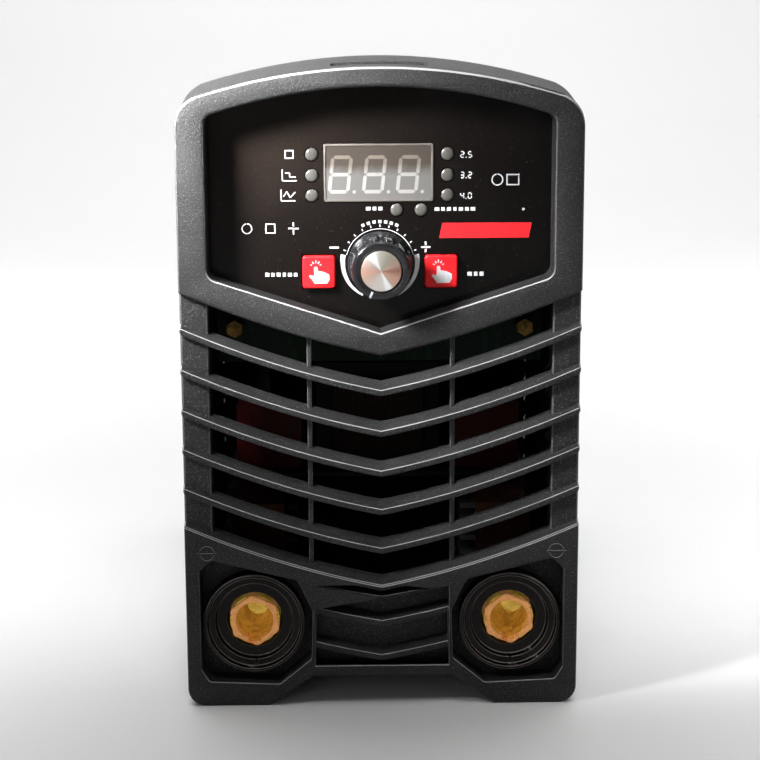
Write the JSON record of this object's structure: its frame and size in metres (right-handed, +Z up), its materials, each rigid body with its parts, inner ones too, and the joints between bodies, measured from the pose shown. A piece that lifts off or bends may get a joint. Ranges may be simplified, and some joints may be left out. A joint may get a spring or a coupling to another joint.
{
  "type": "stick welding inverter",
  "caption": "Box-shaped stick welding power source with a recessed control panel, chevron louvre grille, twist-lock sockets below and a rear fan.",
  "frame": {"origin": "on the floor under the middle of the object's bounding box", "axes": "+X to the right as seen from the front, +Y from front to rear, +Z up; the control panel faces -Y"},
  "size_m": [0.142, 0.295, 0.234],
  "materials": {
    "case_plastic": "fine moulded grain, satin",
    "panel_gloss": "glossy black overlay",
    "display_grey": "grey filter face, unlit",
    "lens_grey": "smoked diffusing lens, unlit",
    "button_red": "satin red cap",
    "knob_black": "glossy black moulding",
    "spun_aluminium": "spun face with circular grain",
    "socket_black": "glossy black moulding",
    "brass": "machined",
    "sheet_black": "black powder coat, fine texture",
    "zinc_steel": "zinc plated",
    "fan_black": "black glass-filled moulding",
    "circuit_board": "solder mask",
    "aluminium": "extruded",
    "ferrite": "ground ferrite",
    "winding": "enamelled copper wire",
    "can_sleeve": "shrink sleeve",
    "film_red": "dipped epoxy",
    "copper": "bare copper strip"
  },
  "bodies": {
    "case": {"front_frame": "case_plastic", "rear_frame": "case_plastic", "control_panel": "panel_gloss", "display_module": "display_grey", "led_1": "lens_grey", "led_2": "lens_grey", "led_3": "lens_grey", "led_4": "lens_grey", "led_5": "lens_grey", "led_6": "lens_grey", "led_7": "lens_grey", "led_8": "lens_grey", "function_switch": "knob_black", "rod_switch": "knob_black", "power_switch_body": "knob_black", "socket_cup_left": "socket_black", "socket_cup_right": "socket_black", "socket_contact_left": "brass", "socket_contact_right": "brass", "terminal_post_left": "brass", "terminal_post_right": "brass", "top_cover": "sheet_black", "base_plate": "zinc_steel", "cover_screw_left_front": "zinc_steel", "cover_screw_left_rear": "zinc_steel", "cover_screw_right_front": "zinc_steel", "cover_screw_right_rear": "zinc_steel", "fan_screw_1": "zinc_steel", "fan_screw_2": "zinc_steel", "fan_screw_3": "zinc_steel", "fan_screw_4": "zinc_steel", "socket_nut_left": "zinc_steel", "socket_nut_right": "zinc_steel", "encoder_body": "zinc_steel", "fan_frame": "fan_black", "gland_body": "fan_black", "gland_cap": "fan_black", "gland_locknut": "fan_black", "control_board": "circuit_board", "driver_board": "circuit_board", "main_board": "circuit_board", "heatsink_left": "aluminium", "heatsink_right": "aluminium", "transformer_core": "ferrite", "transformer_coil": "winding", "output_choke": "winding", "capacitor_1": "can_sleeve", "capacitor_2": "can_sleeve", "capacitor_3": "can_sleeve", "film_capacitor_left": "film_red", "film_capacitor_right": "film_red", "bus_bar_left": "copper", "bus_bar_right": "copper"},
    "knob": {"knob_body": "knob_black", "knob_cap": "spun_aluminium", "encoder_shaft": "aluminium"},
    "function_cap": {"function_button": "button_red"},
    "rod_cap": {"rod_button": "button_red"},
    "rocker": {"power_rocker": "knob_black"},
    "impeller": {"fan_rotor": "fan_black"}
  },
  "joints": [
    {"name": "knob_turn", "type": "hinge", "parent": "case", "child": "knob", "pos_m": [0, -0.1355, 0.1611], "axis": [0, 1, 0], "continuous": true},
    {"name": "function_press", "type": "slide", "parent": "case", "child": "function_cap", "axis": [0, 1, 0], "range_m": [0, 0.0005], "stiffness_N_per_m": 2500, "springref_m": -0.0002},
    {"name": "rod_press", "type": "slide", "parent": "case", "child": "rod_cap", "axis": [0, 1, 0], "range_m": [0, 0.0005], "stiffness_N_per_m": 2500, "springref_m": -0.0002},
    {"name": "power_rock", "type": "hinge", "parent": "case", "child": "rocker", "pos_m": [-0.032, 0.1255, 0.182], "axis": [1, 0, 0], "range_deg": [0, 24]},
    {"name": "fan_spin", "type": "hinge", "parent": "case", "child": "impeller", "pos_m": [0, 0.1232, 0.0765], "axis": [0, 1, 0], "continuous": true}
  ]
}
